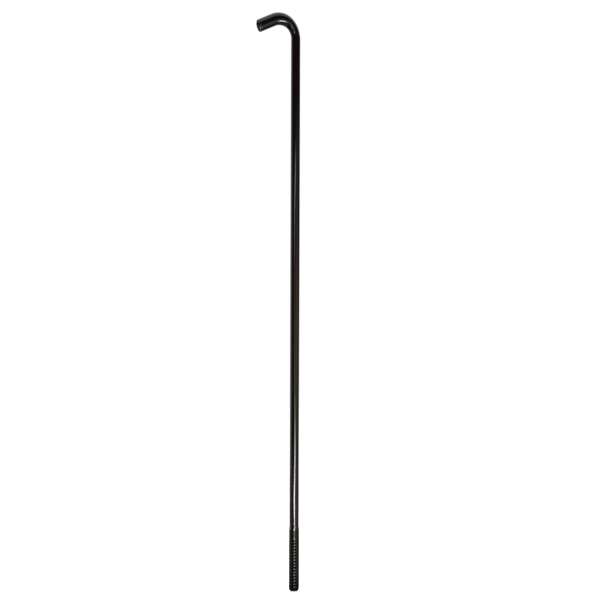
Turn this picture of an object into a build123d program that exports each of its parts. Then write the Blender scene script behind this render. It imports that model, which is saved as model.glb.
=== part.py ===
from build123d import *
from math import cos, pi, radians, sin
import os

# A one-piece steel ground stake: a round bar with a bent hook at the top and a thread at the foot.
# Millimetres. Z is up along the shank, the origin is the centre of the flat foot face,
# and the hook leans out towards -X, so XZ is the bar's mirror plane.

# Whole bar
overall_height = 406.4  # flat of the foot to the crown of the hook
shank_diameter = 6.5

# Hook: an elliptical bend whose section swells from the shank to the full hook bar
hook_diameter = 9.0
bend_reach = 12.6  # half axis of the bend's centre line along X
bend_rise = 14.0  # half axis of the bend's centre line along Z
bend_sweep = 110.2  # degrees of the ellipse from the shank over the crown to the arm
swell_power = 3.25  # how late in the bend the bar thickens
bend_sections = 13
arm_length = 11.75  # straight arm from the end of the bend to the middle of its cut end
cut_angle = 10.0  # degrees that the sheared end leans from square, its lower lip further out
tip_round = 0.4

# Foot: the blank of the rolled thread, which fades into the shank, and its blunt point
thread_diameter = 7.3  # over the crests
thread_length = 46.0  # foot face to the end of the run-out
runout_length = 2.6
point_taper_length = 1.2  # between the full thread and the rounded nose
nose_diameter = 6.95  # where the taper turns into the nose
nose_height = 1.9
foot_face_diameter = 4.3

shank_radius = shank_diameter / 2
hook_radius = hook_diameter / 2
thread_radius = thread_diameter / 2
bend_start = overall_height - hook_radius - bend_rise


def bend_section(turn):
    """Plane square to the bend's centre line, and the bar's radius there, at a turn in degrees."""
    t = radians(turn)
    middle = (bend_reach * (cos(t) - 1), 0, bend_start + bend_rise * sin(t))
    along = (-bend_reach * sin(t), 0, bend_rise * cos(t))
    swell = sin(min(t, pi / 2)) ** swell_power
    radius = shank_radius + (hook_radius - shank_radius) * swell
    return Plane(origin=middle, x_dir=(0, 1, 0), z_dir=along), radius


# The blank below the bend is one turned outline: taper, thread, run-out, shank, foot face and nose.
# The nose is an arc that leaves the taper smoothly and ends at the edge of the foot face.
taper_start = (nose_diameter / 2, nose_height)
with BuildPart() as lower_bar:
    with BuildSketch(Plane.XZ):
        with BuildLine():
            Polyline(
                taper_start,
                (thread_radius, taper_start[1] + point_taper_length),
                (thread_radius, thread_length - runout_length),
                (shank_radius, thread_length),
                (shank_radius, bend_start),
                (0, bend_start),
                (0, 0),
                (foot_face_diameter / 2, 0),
            )
            TangentArc(
                taper_start,
                (foot_face_diameter / 2, 0),
                tangent=(taper_start[0] - thread_radius, -point_taper_length),
            )
        make_face()
    revolve(axis=Axis.Z)

# The bend is lofted through round sections, each square to the elliptical centre line.
with BuildPart() as bend:
    for number in range(bend_sections):
        section_plane, section_radius = bend_section(bend_sweep * number / (bend_sections - 1))
        with BuildSketch(section_plane):
            Circle(section_radius)
    loft()

# The arm runs on straight from the last section and is sheared off at a slight angle.
# It is made one bar radius too long, so that the slanted cut takes its end off whole.
arm_plane, arm_radius = bend_section(bend_sweep)
cut_plane = Plane(
    origin=arm_plane.origin + arm_plane.z_dir * arm_length,
    x_dir=(0, 1, 0),
    z_dir=arm_plane.z_dir.rotate(Axis.Y, cut_angle),
)
with BuildPart() as arm:
    with BuildSketch(arm_plane):
        Circle(arm_radius)
    extrude(amount=arm_length + arm_radius)
    split(bisect_by=cut_plane, keep=Keep.BOTTOM)
    tip_face = arm.faces().filter_by(GeomType.PLANE).sort_by(Axis.X)[0]
    fillet(tip_face.edges(), radius=tip_round)

with BuildPart() as hook_rod:
    add(lower_bar.part)
    add(bend.part)
    add(arm.part)

os.makedirs("parts", exist_ok=True)
hook_rod.part.label = "hook_rod"
export_step(hook_rod.part, "parts/hook_rod.step")
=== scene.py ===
from math import atan2, cos, hypot, pi, radians, sin, tan

import bmesh
import bpy
import numpy as np
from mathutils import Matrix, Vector, noise


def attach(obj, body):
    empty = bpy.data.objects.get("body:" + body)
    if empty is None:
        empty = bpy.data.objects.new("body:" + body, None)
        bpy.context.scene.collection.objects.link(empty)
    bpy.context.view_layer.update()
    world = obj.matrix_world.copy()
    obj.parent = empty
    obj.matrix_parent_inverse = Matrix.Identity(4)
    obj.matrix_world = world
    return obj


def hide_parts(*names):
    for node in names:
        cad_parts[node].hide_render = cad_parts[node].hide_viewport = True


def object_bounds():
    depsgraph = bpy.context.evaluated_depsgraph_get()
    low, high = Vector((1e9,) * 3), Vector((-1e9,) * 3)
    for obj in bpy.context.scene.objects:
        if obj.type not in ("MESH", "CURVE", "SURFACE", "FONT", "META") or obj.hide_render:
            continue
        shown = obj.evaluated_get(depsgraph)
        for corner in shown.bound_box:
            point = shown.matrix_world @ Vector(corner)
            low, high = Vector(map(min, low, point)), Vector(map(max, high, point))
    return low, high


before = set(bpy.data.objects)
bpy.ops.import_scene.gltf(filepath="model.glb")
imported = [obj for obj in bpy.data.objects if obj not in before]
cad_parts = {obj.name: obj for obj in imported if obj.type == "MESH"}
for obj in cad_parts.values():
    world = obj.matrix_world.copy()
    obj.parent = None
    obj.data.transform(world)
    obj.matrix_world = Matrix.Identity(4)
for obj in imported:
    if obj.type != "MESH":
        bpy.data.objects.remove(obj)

cad_low, cad_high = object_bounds()

# ---------------------------------------------------------------------------------------------
# The bar. One length of round steel: the mill draws it straight, rolls a coarse thread into its
# foot and shears it off, a press bends its head round a former, and a dip coats it black.
# It is made here in the same order, as a straight blank that is threaded, bent and coated.
# ---------------------------------------------------------------------------------------------
mm = 0.001
bar_height = cad_high.z - cad_low.z
hook_radius = (cad_high.y - cad_low.y) / 2
thread_radius = cad_high.x
shank_radius = 3.25 * mm

# The foot, from its flat face up to where the run-out has faded into the shank.
foot_face_radius = 2.15 * mm
nose_radius = 3.475 * mm
nose_height = 1.9 * mm
full_radius_height = 3.1 * mm
full_thread_height = 35.4 * mm
thread_end_height = 38.2 * mm
collar_radius = 3.53 * mm
runout_start = 42.7 * mm
runout_end = 48.2 * mm

# The thread: twelve shallow right-hand turns to the inch, with broad crests and narrow roots.
thread_pitch = 25.4 * mm / 12
thread_depth = 0.14 * mm
thread_start = 0.6 * mm
thread_rise = 1.6 * mm
crest_power = 0.42  # the lower, the broader the crests

# The hook: an elliptical bend that swells to the full hook bar, and a straight sheared arm.
bend_reach = 12.6 * mm
bend_rise = 14.0 * mm
bend_sweep = radians(110.2)
swell_power = 3.25
bend_start = bar_height - hook_radius - bend_rise
arm_length = 11.75 * mm
cut_angle = radians(10)
tip_round = 0.4 * mm

# How finely the blank is divided. The rings of its two flat ends are shares of their radius, and
# the thread's close rings go on a little way past the run-out.
sides = 72
foot_rings = (0, 0.5, 0.85)
nose_rings = 9
rings_per_turn = 18
past_runout = 1 * mm
shank_rings = 90
bend_rings = 64
bend_samples = 241
arm_rings = 16
lip_rings = 6
end_rings = (0.93, 0.84, 0.72, 0.58, 0.42, 0.22, 0)
weld_distance = 0.0001 * mm

# Length of centre line used up by each turn of the bend, from the shank to the arm.
bend_turns = np.linspace(0, bend_sweep, bend_samples)
bend_steps = np.hypot(np.diff(bend_reach * np.cos(bend_turns)), np.diff(bend_rise * np.sin(bend_turns)))
bend_lengths = np.concatenate([[0], np.cumsum(bend_steps)])
arm_start = bend_start + bend_lengths[-1]
blank_length = arm_start + arm_length
cut_face_height = blank_length - 0.001 * mm  # everything above lies in the flat cut end


def eased(share):
    """A share from 0 to 1 that starts and ends gently."""
    return share * share * (3 - 2 * share)


def swollen_radius(turn):
    """The bar's radius at a turn of the bend: it fattens towards the crown and stays fat."""
    return shank_radius + (hook_radius - shank_radius) * sin(min(turn, pi / 2)) ** swell_power


def nose_arc(count):
    """Points of the rounded nose, from the edge of the foot face up to where the taper starts."""
    taper = Vector((thread_radius - nose_radius, full_radius_height - nose_height)).normalized()
    outward = Vector((taper.y, -taper.x))
    edge = Vector((foot_face_radius, 0))
    top = Vector((nose_radius, nose_height))
    chord = edge - top
    radius = -chord.length_squared / (2 * chord.dot(outward))
    centre = top - outward * radius
    first = atan2(edge.y - centre.y, edge.x - centre.x)
    last = atan2(top.y - centre.y, top.x - centre.x)
    turns = np.linspace(first, last, count)
    return [(centre.x + radius * cos(a), centre.y + radius * sin(a)) for a in turns]


def blank_outline():
    """The straight blank from the middle of its foot to the middle of its cut end: radius, height."""
    foot_heights = [nose_height, full_radius_height, full_thread_height, thread_end_height]
    foot_radii = [nose_radius, thread_radius, thread_radius, collar_radius]
    outline = [(foot_face_radius * share, 0) for share in foot_rings]
    outline += nose_arc(nose_rings)
    for z in np.arange(nose_height, runout_end + past_runout, thread_pitch / rings_per_turn)[1:]:
        radius = np.interp(z, foot_heights, foot_radii)
        fade = eased(np.interp(z, [runout_start, runout_end], [0, 1]))
        outline.append((radius + (shank_radius - radius) * fade, z))
    outline += [(shank_radius, z) for z in np.linspace(outline[-1][1], bend_start, shank_rings)[1:]]
    for turn in np.linspace(0, bend_sweep, bend_rings)[1:]:
        outline.append((swollen_radius(turn), bend_start + np.interp(turn, bend_turns, bend_lengths)))
    outline += [(hook_radius, z) for z in np.linspace(arm_start, blank_length - tip_round, arm_rings)[1:]]
    for turn in np.linspace(0, pi / 2, lip_rings)[1:]:
        inset = tip_round * (1 - cos(turn))
        outline.append((hook_radius - inset, blank_length - tip_round * (1 - sin(turn))))
    face_edge = outline[-1][0]
    outline += [(face_edge * share, blank_length) for share in end_rings]
    return outline


def thread_at(angle, z):
    """How far the thread's surface lies under its crests, and how near the place is to a crest."""
    phase = (z / thread_pitch - angle / (2 * pi)) % 1.0
    crest = sin(pi * phase) ** crest_power
    fade_in = min(1, max(0, (z - thread_start) / thread_rise))
    fade_out = min(1, max(0, (thread_end_height - z) / (thread_end_height - full_thread_height)))
    full = fade_in * fade_out
    return thread_depth * full * (1 - crest), crest * full


blank = bmesh.new()
straight = blank.verts.layers.float_vector.new("straight")
crest_mark = blank.verts.layers.float.new("crest")
chain = [blank.verts.new((radius, 0, z)) for radius, z in blank_outline()]
for lower, upper in zip(chain, chain[1:]):
    blank.edges.new((lower, upper))
bmesh.ops.spin(
    blank, geom=blank.verts[:] + blank.edges[:], cent=(0, 0, 0), axis=(0, 0, 1),
    angle=2 * pi, steps=sides, use_merge=True, use_duplicate=False,
)
bmesh.ops.remove_doubles(blank, verts=blank.verts[:], dist=weld_distance)
bmesh.ops.recalc_face_normals(blank, faces=blank.faces[:])

# Each place keeps where it was on the straight bar, so that the finish can follow the bend.
for vert in blank.verts:
    x, y, z = vert.co
    radius = hypot(x, y)
    vert[straight] = vert.co
    if foot_face_radius < radius and z < runout_end:
        groove, crest = thread_at(atan2(y, x), z)
        rolled = (radius - groove) / radius
        vert.co.x = x * rolled
        vert.co.y = y * rolled
        vert[crest_mark] = crest

# The shear leaves the end slanted, with a shallow ragged break across it and a burr that rises
# over the last of the way to its lower lip.
break_depth = 0.30 * mm
coarse_grain = 900
fine_grain = 2300
fine_share = 0.6
burr_start = 0.62
burr_height = 0.1672 * mm
for vert in blank.verts:
    x, y, z = vert.co
    if z <= arm_start:
        continue
    slant = (z - arm_start) / arm_length
    out = -x * tan(cut_angle) * slant
    if z > cut_face_height:
        rim = hypot(x, y) / hook_radius
        torn = noise.noise(vert.co * coarse_grain) + fine_share * noise.noise(vert.co * fine_grain)
        out += break_depth * torn * (1 - rim ** 6)
        out -= break_depth * (1 - rim ** 2)
        out += burr_height * max(0, -x / hook_radius - burr_start) / (1 - burr_start)
    vert.co.z += out

# Bending: past the start of the bend the centre line follows a quarter and more of an ellipse.
for vert in blank.verts:
    x, y, z = vert.co
    if z <= bend_start:
        continue
    turn = float(np.interp(z - bend_start, bend_lengths, bend_turns))
    along = Vector((-bend_reach * sin(turn), 0, bend_rise * cos(turn))).normalized()
    outward = Vector((along.z, 0, -along.x))
    centre = Vector((bend_reach * (cos(turn) - 1), 0, bend_start + bend_rise * sin(turn)))
    centre += along * max(0, z - arm_start)
    vert.co = centre + outward * x + Vector((0, y, 0))


def put_in_scene(name, data):
    """A new object in the scene, at the origin."""
    thing = bpy.data.objects.new(name, data)
    bpy.context.scene.collection.objects.link(thing)
    return thing


bar_mesh = bpy.data.meshes.new("hook_bar")
blank.to_mesh(bar_mesh)
blank.free()
for face in bar_mesh.polygons:
    face.use_smooth = True
hook_bar = put_in_scene("hook_bar", bar_mesh)


def feed(node, sockets):
    """Gives each socket its value, or links it to the output that it is given."""
    for name, value in sockets.items():
        if isinstance(value, bpy.types.NodeSocket):
            node.id_data.links.new(value, node.inputs[name])
        else:
            node.inputs[name].default_value = value


def add_node(tree, kind, label, sockets, **settings):
    """A labelled node with its settings made and its sockets fed."""
    node = tree.nodes.new(kind)
    node.label = label
    for name, value in settings.items():
        setattr(node, name, value)
    feed(node, sockets)
    return node


def attribute(tree, label, name, output):
    """What the mesh keeps at each place under a name."""
    return add_node(tree, "ShaderNodeAttribute", label, {}, attribute_name=name).outputs[output]


def mottled(tree, label, place, scale, detail):
    """Noise from 0 to 1."""
    sockets = {"Vector": place, "Scale": scale, "Detail": detail}
    return add_node(tree, "ShaderNodeTexNoise", label, sockets).outputs["Fac"]


def stretched(tree, label, place, scale):
    """A place scaled by its own number each way, which draws a pattern out."""
    return add_node(tree, "ShaderNodeMapping", label, {"Vector": place, "Scale": scale}).outputs["Vector"]


def ranged(tree, label, value, source, target):
    """A value carried from one range to another, and held at its ends."""
    return add_node(tree, "ShaderNodeMapRange", label, {
        "Value": value,
        "From Min": source[0],
        "From Max": source[1],
        "To Min": target[0],
        "To Max": target[1],
    }).outputs["Result"]


def arithmetic(tree, label, operation, first, second):
    """Two values put together."""
    sockets = {0: first, 1: second}
    return add_node(tree, "ShaderNodeMath", label, sockets, operation=operation).outputs["Value"]


def toned(tree, label, share, tones):
    """A colour that runs through tones, each with the share at which it is reached."""
    node = add_node(tree, "ShaderNodeValToRGB", label, {"Fac": share})
    elements = node.color_ramp.elements
    for element, (position, tone) in zip(elements, (tones[0], tones[-1])):
        element.position = position
        element.color = (*tone, 1)
    for position, tone in tones[1:-1]:
        elements.new(position).color = (*tone, 1)
    return node.outputs["Color"]


def mixed(tree, label, share, first, second):
    """One colour that gives way to another."""
    sockets = {"Factor": share, "A": first, "B": second}
    return add_node(tree, "ShaderNodeMix", label, sockets, data_type="RGBA").outputs["Result"]


def new_finish(name, even_sockets):
    """A material with what is the same all over it, its node tree and its shader."""
    finish = bpy.data.materials.new(name)
    finish.use_nodes = True
    shader = finish.node_tree.nodes["Principled BSDF"]
    feed(shader, even_sockets)
    return finish, finish.node_tree, shader


# The coat's near-black tone from the foot to the cut end, by height on the straight bar in metres, with
# painted reflection tints in it: the warm brown, olive and pinkish shifts stand in for the room that the
# gloss mirrors at each height.
coat_and_painted_reflection_tones = [
    (0.000, (0.0060, 0.0044, 0.0040)),
    (0.016, (0.0070, 0.0050, 0.0046)),
    (0.026, (0.0100, 0.0066, 0.0050)),
    (0.036, (0.0100, 0.0076, 0.0044)),
    (0.041, (0.0120, 0.0100, 0.0050)),
    (0.048, (0.0180, 0.0095, 0.0105)),
    (0.076, (0.0185, 0.0095, 0.0115)),
    (0.098, (0.0100, 0.0070, 0.0058)),
    (0.125, (0.0075, 0.0064, 0.0028)),
    (0.190, (0.0074, 0.0062, 0.0030)),
    (0.212, (0.0115, 0.0060, 0.0052)),
    (0.236, (0.0105, 0.0058, 0.0054)),
    (0.262, (0.0072, 0.0060, 0.0056)),
    (0.335, (0.0062, 0.0054, 0.0052)),
    (0.352, (0.0078, 0.0030, 0.0042)),
    (0.384, (0.0076, 0.0034, 0.0044)),
    (0.405, (0.0060, 0.0044, 0.0040)),
]
tone_wander = 8 * mm
patch_stretch = (120, 120, 18)  # the smaller a number, the longer the pattern that way
line_stretch = (2600, 2600, 30)
line_relief = 0.03 * mm
wear_grain = 900
worn_steel = (0.050, 0.046, 0.042, 1)
dull_height = 42.9 * mm
dull_blend = 0.4 * mm


def black_coat(name, specular):
    """A thin black dip over drawn steel, with faint lines along the bar, crests that rub bare, and
    painted reflection tints by height in its colour.
    """
    coat, tree, shader = new_finish(name, {"IOR": 1.56, "Specular IOR Level": specular})
    place = attribute(tree, "place on the straight bar", "straight", "Vector")
    crest = attribute(tree, "nearness to a thread crest", "crest", "Fac")
    axes = add_node(tree, "ShaderNodeSeparateXYZ", "height on the straight bar", {"Vector": place})
    height = axes.outputs["Z"]

    # The colour runs by height through the coat's near-black and its painted reflection tints, warm brown
    # and olive. Long soft patches of noise shift those heights a little.
    patches = stretched(tree, "patches", place, patch_stretch)
    patch_noise = mottled(tree, "patch noise", patches, 1.0, 3.0)
    wandering = ranged(tree, "wandering height", patch_noise, (0, 1), (-tone_wander, tone_wander))
    tone_height = arithmetic(tree, "height of the tone", "ADD", height, wandering)
    tone_share = ranged(tree, "share of the bar's length", tone_height, (0, blank_length), (0, 1))
    shares = [(tone_z / blank_length, tone) for tone_z, tone in coat_and_painted_reflection_tones]
    coat_and_reflection_tone = toned(tree, "tone along the bar", tone_share, shares)

    # The crests of the thread rub down to dull steel in broken patches.
    wear_noise = mottled(tree, "wear noise", place, wear_grain, 4.0)
    wear_spread = ranged(tree, "broken wear", wear_noise, (0.42, 0.70), (0, 1))
    crest_top = ranged(tree, "crest top", crest, (0.80, 1.0), (0, 1))
    wear = arithmetic(tree, "wear on crests", "MULTIPLY", wear_spread, crest_top)

    # Drawn lines are very fine across the bar, very long down it and a few microns deep.
    lines = stretched(tree, "drawn lines", place, line_stretch)
    line_noise = mottled(tree, "line noise", lines, 1.0, 2.0)
    line_rough = ranged(tree, "line roughness", line_noise, (0, 1), (0.05, 0.12))
    thread_zone = ranged(tree, "thread zone", height, (dull_height, dull_height - dull_blend), (0, 0.05))
    relief = add_node(tree, "ShaderNodeBump", "drawn relief", {
        "Strength": 0.15,
        "Distance": line_relief,
        "Height": line_noise,
    })
    feed(shader, {
        "Base Color": mixed(tree, "coat and wear", wear, coat_and_reflection_tone, worn_steel),
        "Roughness": arithmetic(tree, "roughness", "ADD", thread_zone, line_rough),
        "Normal": relief.outputs["Normal"],
    })
    return coat


# Zones of the sheared end, as shares of its height from the burr of its lower lip up: it is torn open,
# then burnished black, then rolled over, where its pale grey is a painted reflection that carries on the
# pale band along the top of the arm. A chip in the torn zone shows the bare steel.
end_zones_and_painted_reflection = [
    (0.03, (0.0300, 0.0270, 0.0270)),
    (0.14, (0.0420, 0.0380, 0.0380)),
    (0.22, (0.0080, 0.0060, 0.0060)),
    (0.32, (0.0520, 0.0480, 0.0480)),
    (0.48, (0.0420, 0.0370, 0.0370)),
    (0.55, (0.0160, 0.0130, 0.0130)),
    (0.60, (0.0015, 0.0012, 0.0012)),
    (0.70, (0.0015, 0.0012, 0.0012)),
    (0.79, (0.0650, 0.0590, 0.0600)),
]
zone_wander = 0.7 * mm
chip_place = (-2.0 * mm, -1.3 * mm, blank_length)
chip_rim = 1.4 * mm
chip_floor = 0.6 * mm
bare_steel = (0.22, 0.21, 0.21, 1)
torn_grain = 1400
torn_relief = 0.12 * mm


def torn_end():
    """The grainy matt face that the shear leaves, with a painted reflection in the grey of its top zone.
    """
    torn, tree, shader = new_finish("torn_end", {"IOR": 1.35, "Specular IOR Level": 0.06})
    place = attribute(tree, "place on the straight bar", "straight", "Vector")
    grain = mottled(tree, "torn grain", place, torn_grain, 5.0)
    axes = add_node(tree, "ShaderNodeSeparateXYZ", "height across the end", {"Vector": place})
    ragged = ranged(tree, "ragged edges of the zones", grain, (0, 1), (-zone_wander, zone_wander))
    zone_height = arithmetic(tree, "ragged height across the end", "ADD", axes.outputs["X"], ragged)
    zone_share = ranged(tree, "share of the end", zone_height, (-hook_radius, hook_radius), (0, 1))
    # The top zone's pale grey is a painted reflection, carried on from the arm's pale top band.
    zones = toned(tree, "zones of the sheared end", zone_share, end_zones_and_painted_reflection)

    from_chip = add_node(tree, "ShaderNodeVectorMath", "distance from the chip", {
        0: place,
        1: chip_place,
    }, operation="DISTANCE")
    chip_edge = arithmetic(tree, "ragged distance", "ADD", from_chip.outputs["Value"], ragged)
    chip = ranged(tree, "chip", chip_edge, (chip_rim, chip_floor), (0, 1))
    relief = add_node(tree, "ShaderNodeBump", "torn relief", {
        "Strength": 0.6,
        "Distance": torn_relief,
        "Height": grain,
    })
    feed(shader, {
        "Base Color": mixed(tree, "zones and chip", chip, zones, bare_steel),
        "Roughness": ranged(tree, "roughness of the grain", grain, (0, 1), (0.55, 0.80)),
        "Normal": relief.outputs["Normal"],
    })
    return torn


# On the thread and the collar above it the coat mirrors less, because the rolls pressed it thin.
bar_mesh.materials.append(black_coat("black_coat", 0.50))
bar_mesh.materials.append(black_coat("thread_coat", 0.30))
bar_mesh.materials.append(torn_end())
thread_coat_index = bar_mesh.materials.find("thread_coat")
torn_end_index = bar_mesh.materials.find("torn_end")
straight_places = bar_mesh.attributes["straight"].data
for face in bar_mesh.polygons:
    corner_heights = [straight_places[corner].vector.z for corner in face.vertices]
    if max(corner_heights) < dull_height:
        face.material_index = thread_coat_index
    elif min(corner_heights) > cut_face_height:
        face.material_index = torn_end_index
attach(hook_bar, "root")
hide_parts("hook_rod")


# ---------------------------------------------------------------------------------------------
# The floor and the surround. The stake stands on a wide pale round floor, with nothing but
# white round it. Both are full white only where they are seen, and light the bar less.
# ---------------------------------------------------------------------------------------------
floor_radius = 6.0
floor_lift = 0.7
fill_strength = 0.5
white = (1, 1, 1, 1)


def seen_directly(tree):
    """1 for a ray of the camera, of gloss or through glass, and 0 for a ray that gathers light."""
    rays = add_node(tree, "ShaderNodeLightPath", "kind of ray", {}).outputs
    seen = rays["Is Camera Ray"]
    for other in ("Is Glossy Ray", "Is Transmission Ray"):
        seen = arithmetic(tree, "seen directly", "MAXIMUM", seen, rays[other])
    return seen


floor_bm = bmesh.new()
bmesh.ops.create_circle(floor_bm, cap_ends=True, segments=96, radius=floor_radius)
floor_mesh = bpy.data.meshes.new("floor")
floor_bm.to_mesh(floor_mesh)
floor_bm.free()
floor = put_in_scene("floor", floor_mesh)
pale_floor, floor_tree, floor_shader = new_finish("pale_floor", {
    "Base Color": (0.8, 0.8, 0.8, 1),
    "Roughness": 0.9,
    "Specular IOR Level": 0.0,
    "Emission Color": white,
})
lifted = arithmetic(floor_tree, "lift to white", "MULTIPLY", seen_directly(floor_tree), floor_lift)
feed(floor_shader, {"Emission Strength": lifted})
floor_mesh.materials.append(pale_floor)

world = bpy.data.worlds.new("white_surround")
bpy.context.scene.world = world
world.use_nodes = True
world_tree = world.node_tree
world_tree.nodes.clear()
fill_light = add_node(world_tree, "ShaderNodeBackground", "fill light", {
    "Color": white,
    "Strength": fill_strength,
})
white_surround = add_node(world_tree, "ShaderNodeBackground", "white surround", {
    "Color": white,
    "Strength": 1.0,
})
surround = add_node(world_tree, "ShaderNodeMixShader", "light or surround", {
    "Fac": seen_directly(world_tree),
    1: fill_light.outputs["Background"],
    2: white_surround.outputs["Background"],
})
add_node(world_tree, "ShaderNodeOutputWorld", "world", {"Surface": surround.outputs["Shader"]})


# ---------------------------------------------------------------------------------------------
# The lamps. A broad soft one hangs overhead and stays out of the gloss. Two small oval ones, a
# bright one within a wider glow, stand low on the right and put the glint on the hook.
# ---------------------------------------------------------------------------------------------
front = radians(-22)  # azimuth of the camera, from which all the studio's azimuths are counted


def around(azimuth, distance, z):
    """A place at an azimuth in degrees from the front, a distance from the bar and a height."""
    turn = front + radians(azimuth)
    return Vector((sin(turn) * distance, -cos(turn) * distance, z))


def soft_light(name, place, width, height, power):
    """A soft area lamp at a place, which the camera doesn't see."""
    lamp = bpy.data.lights.new(name, "AREA")
    lamp.shape = "RECTANGLE"
    lamp.size = width
    lamp.size_y = height
    lamp.energy = power
    stand = put_in_scene(name, lamp)
    stand.location = place
    stand.visible_camera = False
    return stand


overhead = soft_light("overhead_light", around(150, 0.30, 1.30), width=2.0, height=1.6, power=16.0)
overhead.rotation_euler = (0, 0, front)
overhead.visible_glossy = False

window_distance = 0.43
window_centre = 0.012
window_height = 0.16
window_spread = radians(60)
window_aim = Vector((0, 0, 0.385))
for name, azimuth, width, power in [
    ("low_window", 49, 0.10, 0.070),
    ("low_window_glow", 56, 0.17, 0.050),
]:
    window_place = around(azimuth, window_distance, window_centre)
    low_window = soft_light(name, window_place, width, window_height, power)
    low_window.rotation_euler = (window_aim - window_place).to_track_quat("-Z", "Y").to_euler()
    low_window.visible_diffuse = False
    low_window.data.shape = "ELLIPSE"
    low_window.data.spread = window_spread


# ---------------------------------------------------------------------------------------------
# The dark cloths. A hood stands round the camera's side and a rug covers the floor, so that the
# gloss of the front stays deep. A wing covers part of the white on the right, behind the bar's
# side, and a shelf hides the foot of one screen.
# ---------------------------------------------------------------------------------------------
def card(name, card_bm, material):
    """Only the gloss of the bar mirrors a card: it hides nothing from the camera and shades nothing."""
    mesh = bpy.data.meshes.new(name)
    card_bm.to_mesh(mesh)
    card_bm.free()
    mesh.materials.append(material)
    thing = put_in_scene(name, mesh)
    thing.visible_camera = False
    thing.visible_diffuse = False
    thing.visible_shadow = False


dark_cloth, _, _ = new_finish("dark_cloth", {
    "Base Color": (0.01, 0.01, 0.01, 1),
    "Roughness": 1.0,
    "Specular IOR Level": 0.0,
    "Emission Color": (0.02, 0.02, 0.02, 1),
    "Emission Strength": 1.0,
})

# The hood is a ball round the crown, cut open at a slant behind the bar. It faces the front, a
# little to the right and downwards.
hood_radius = 2.4
hood_setback = 0.38
ahead = around(0, 1, 0)
right = around(90, 1, 0)
crown = Vector((0, 0, bar_height))
hood_facing = (right * 0.12 + ahead * 1.0 + Vector((0, 0, -0.68))).normalized()
hood_bm = bmesh.new()
bmesh.ops.create_uvsphere(hood_bm, u_segments=96, v_segments=64, radius=hood_radius)
bmesh.ops.translate(hood_bm, verts=hood_bm.verts[:], vec=crown)
bmesh.ops.bisect_plane(
    hood_bm, geom=hood_bm.verts[:] + hood_bm.edges[:] + hood_bm.faces[:],
    plane_co=crown - hood_facing * hood_setback, plane_no=-hood_facing, clear_outer=True,
)
card("dark_hood", hood_bm, dark_cloth)

rug_radius = 2.3
rug_height = 1 * mm
rug_bm = bmesh.new()
bmesh.ops.create_circle(rug_bm, cap_ends=True, segments=96, radius=rug_radius)
bmesh.ops.translate(rug_bm, verts=rug_bm.verts[:], vec=(0, 0, rug_height))
card("dark_rug", rug_bm, dark_cloth)


def dark_sheet(name, corners):
    """A dark cloth stretched between corners, each an azimuth, a distance and a height."""
    sheet_bm = bmesh.new()
    sheet_bm.faces.new([sheet_bm.verts.new(around(*corner)) for corner in corners])
    card(name, sheet_bm, dark_cloth)


# The wing stands on the right, and its lower edge falls towards the front.
wing_distance = 0.8
wing_top = 0.48
wing_edge = [(turn, wing_top) for turn in (106, 116, 126, 138, 150)]
wing_edge += [(150, 0.20), (138, 0.17), (106, 0.06)]
dark_sheet("dark_wing", [(turn, wing_distance, z) for turn, z in wing_edge])

# The shelf lies level in front of the bar, and hides the strip's bright foot from the hook.
shelf_height = 0.135
shelf_near = 0.24
shelf_far = 0.33
shelf_edge = [(turn, shelf_near) for turn in (-20, 8, 36)]
shelf_edge += [(turn, shelf_far) for turn in (36, 8, -20)]
dark_sheet("dark_shelf", [(turn, distance, shelf_height) for turn, distance in shelf_edge])


# ---------------------------------------------------------------------------------------------
# The sheer cloths. Standing screens and lying mats glow in front of the hood and on the rug, and
# add their light to what is behind. They draw the bright streaks down the gloss of the bar.
# ---------------------------------------------------------------------------------------------
sheer_cloth = bpy.data.materials.new("sheer_cloth")
sheer_cloth.use_nodes = True
sheer_tree = sheer_cloth.node_tree
sheer_tree.nodes.clear()
sheer_light = add_node(sheer_tree, "ShaderNodeEmission", "glow", {
    "Color": attribute(sheer_tree, "glow of the cloth", "glow", "Color"),
    "Strength": 1.0,
})
see_through = add_node(sheer_tree, "ShaderNodeBsdfTransparent", "see-through", {})
glow_and_view = add_node(sheer_tree, "ShaderNodeAddShader", "glow before what is behind", {
    0: sheer_light.outputs["Emission"],
    1: see_through.outputs["BSDF"],
})
add_node(sheer_tree, "ShaderNodeOutputMaterial", "cloth", {"Surface": glow_and_view.outputs["Shader"]})


def sheer_sheet(name, soft, levels):
    """A cloth that glows in levels: distance, height, azimuths of its two sides, and glow of each.

    The glow fades out over a share of the cloth's width, soft, at each side.
    """
    sheet_bm = bmesh.new()
    glow_mark = sheet_bm.verts.layers.float_color.new("glow")
    bmesh.ops.create_grid(sheet_bm, x_segments=36, y_segments=72, size=0.5)
    places = np.array([level[:4] for level in levels])
    glows = np.array([np.broadcast_to(level[4], 3) for level in levels])
    steps = np.hypot(np.diff(places[:, 0]), np.diff(places[:, 1]))
    reached = np.concatenate([[0], np.cumsum(steps)]) / steps.sum()
    for vert in sheet_bm.verts:
        across = vert.co.x + 0.5
        along = vert.co.y + 0.5
        distance, z, first, last = [np.interp(along, reached, column) for column in places.T]
        glow = [np.interp(along, reached, column) for column in glows.T]
        fade = eased(max(0, min(1, min(across, 1 - across) / soft)))
        vert.co = around(first + (last - first) * across, distance, z)
        vert[glow_mark] = Vector(glow + [1]) * fade
    card(name, sheet_bm, sheer_cloth)


def standing_screen(name, distance, soft, levels):
    """A sheer cloth that stands round the bar: height, azimuths of its sides and glow of each level."""
    sheer_sheet(name, soft, [(distance, *level) for level in levels])


def lying_mat(name, z, soft, levels):
    """A sheer cloth that lies level: distance, azimuths of its sides and glow of each level."""
    sheer_sheet(name, soft, [(distance, z, *rest) for distance, *rest in levels])


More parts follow.
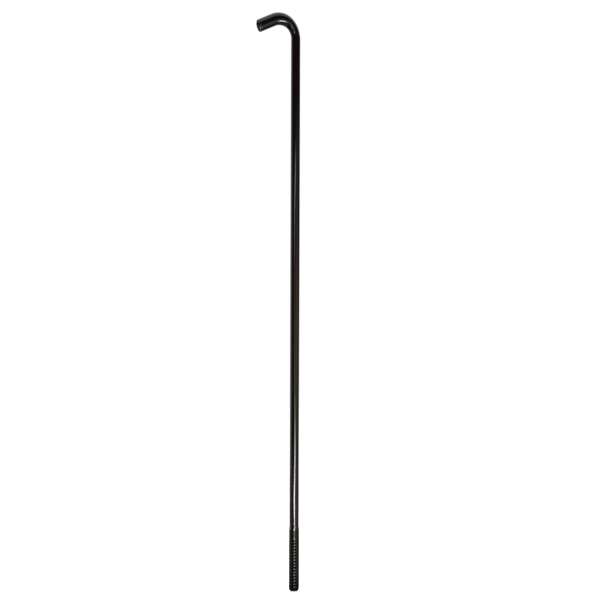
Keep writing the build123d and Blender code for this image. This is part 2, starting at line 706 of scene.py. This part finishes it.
# The front screen stands on the right: warm at mid height, pinkish above that and dim at both ends.
standing_screen("front_screen", distance=0.82, soft=0.18, levels=[
    (-0.020, 14, 92, (0.16, 0.15, 0.15)),
    (0.040, 14, 92, (0.22, 0.21, 0.20)),
    (0.080, 14, 90, (0.36, 0.33, 0.32)),
    (0.115, 14, 84, (0.62, 0.52, 0.34)),
    (0.185, 14, 92, (0.66, 0.54, 0.33)),
    (0.215, 14, 92, (0.59, 0.35, 0.29)),
    (0.250, 14, 92, (0.40, 0.27, 0.24)),
    (0.290, 14, 92, (0.26, 0.24, 0.24)),
    (0.350, 14, 92, (0.16, 0.15, 0.15)),
    (0.375, 14, 92, 0.0),
])

# The left screen draws the thin pale rim down the left of the bar.
standing_screen("left_screen", distance=0.36, soft=0.35, levels=[
    (0.000, -124, -62, (0.35, 0.34, 0.33)),
    (0.050, -124, -62, (0.40, 0.39, 0.37)),
    (0.075, -124, -62, (0.40, 0.39, 0.37)),
    (0.126, -124, -62, (0.60, 0.57, 0.52)),
    (0.160, -124, -62, (0.50, 0.48, 0.44)),
    (0.190, -124, -62, (0.35, 0.34, 0.31)),
    (0.312, -124, -62, (0.28, 0.27, 0.27)),
    (0.370, -124, -62, 0.0),
])

# The strip draws the streak down the front, which wavers from side to side and is brightest low down.
standing_screen("strip_screen", distance=0.36, soft=0.45, levels=[
    (-0.010, -6, 28, 0.3),
    (0.029, -6, 28, 0.5),
    (0.034, -4, 26, 28.0),
    (0.042, -10, 22, 22.0),
    (0.053, -16, 20, 29.0),
    (0.069, -4, 28, 16.0),
    (0.084, 5, 29, (20.0, 20.0, 19.4)),
    (0.100, 3, 27, (12.0, 12.0, 11.0)),
    (0.117, 1, 24, (5.0, 4.8, 4.0)),
    (0.136, -6, 17, (2.1, 2.0, 1.4)),
    (0.165, -14, 14, (1.3, 1.2, 0.9)),
    (0.196, -16, 14, (0.6, 0.6, 0.5)),
    (0.227, -18, 10, 0.5),
    (0.258, -22, 0, 1.9),
    (0.285, -15, 2, 5.2),
    (0.308, -4, 19, 4.6),
    (0.318, -4, 19, 1.8),
    (0.328, -4, 19, 0.0),
])

# The mats lie where the underside of the hook, the nose and the rims of the foot mirror the floor.
lying_mat("wide_mat", z=2 * mm, soft=0.25, levels=[
    (0.05, 10, 130, 0.12),
    (0.16, 10, 120, (0.15, 0.14, 0.14)),
    (0.30, 5, 100, (0.32, 0.29, 0.28)),
    (0.55, -5, 88, (0.48, 0.44, 0.42)),
    (1.10, 0, 85, (0.55, 0.50, 0.48)),
    (1.60, 5, 82, (0.45, 0.42, 0.41)),
])
lying_mat("side_mat", z=4 * mm, soft=0.5, levels=[
    (0.36, -14, 24, 0.0),
    (0.52, -14, 26, 1.8),
    (0.70, -10, 28, 1.2),
    (1.05, -10, 22, 0.0),
])
lying_mat("back_mat", z=2 * mm, soft=0.2, levels=[
    (0.02, 112, 248, 0.2),
    (0.60, 112, 248, 0.3),
    (2.20, 112, 248, 0.6),
])
lying_mat("foot_mat", z=5 * mm, soft=0.45, levels=[
    (0.01, 204, 244, 0.0),
    (0.03, 204, 244, 3.0),
    (0.10, 206, 238, 2.5),
    (0.22, 206, 238, 0.0),
])


# ---------------------------------------------------------------------------------------------
# The camera. It stands level with the middle of the bar, far off behind a long lens, and looks a
# little to the right of the bar, rolled by a hair.
# ---------------------------------------------------------------------------------------------
view_width = 0.42135  # at the bar
lens_length = 300.0
sensor_width = 36.0
farthest_seen = 20
side_shift = 3.65 * mm
lift = 1.48 * mm
roll = radians(-0.186)
camera_data = bpy.data.cameras.new("camera")
camera_data.lens = lens_length
camera_data.sensor_width = sensor_width
camera_data.clip_end = farthest_seen
camera = put_in_scene("camera", camera_data)
camera_distance = view_width * lens_length / sensor_width
aim_point = right * side_shift + Vector((0, 0, bar_height / 2 + lift))
camera.location = aim_point + ahead * camera_distance
camera.rotation_euler = (pi / 2, roll, front)
bpy.context.scene.camera = camera
bpy.context.scene.view_settings.view_transform = "Standard"
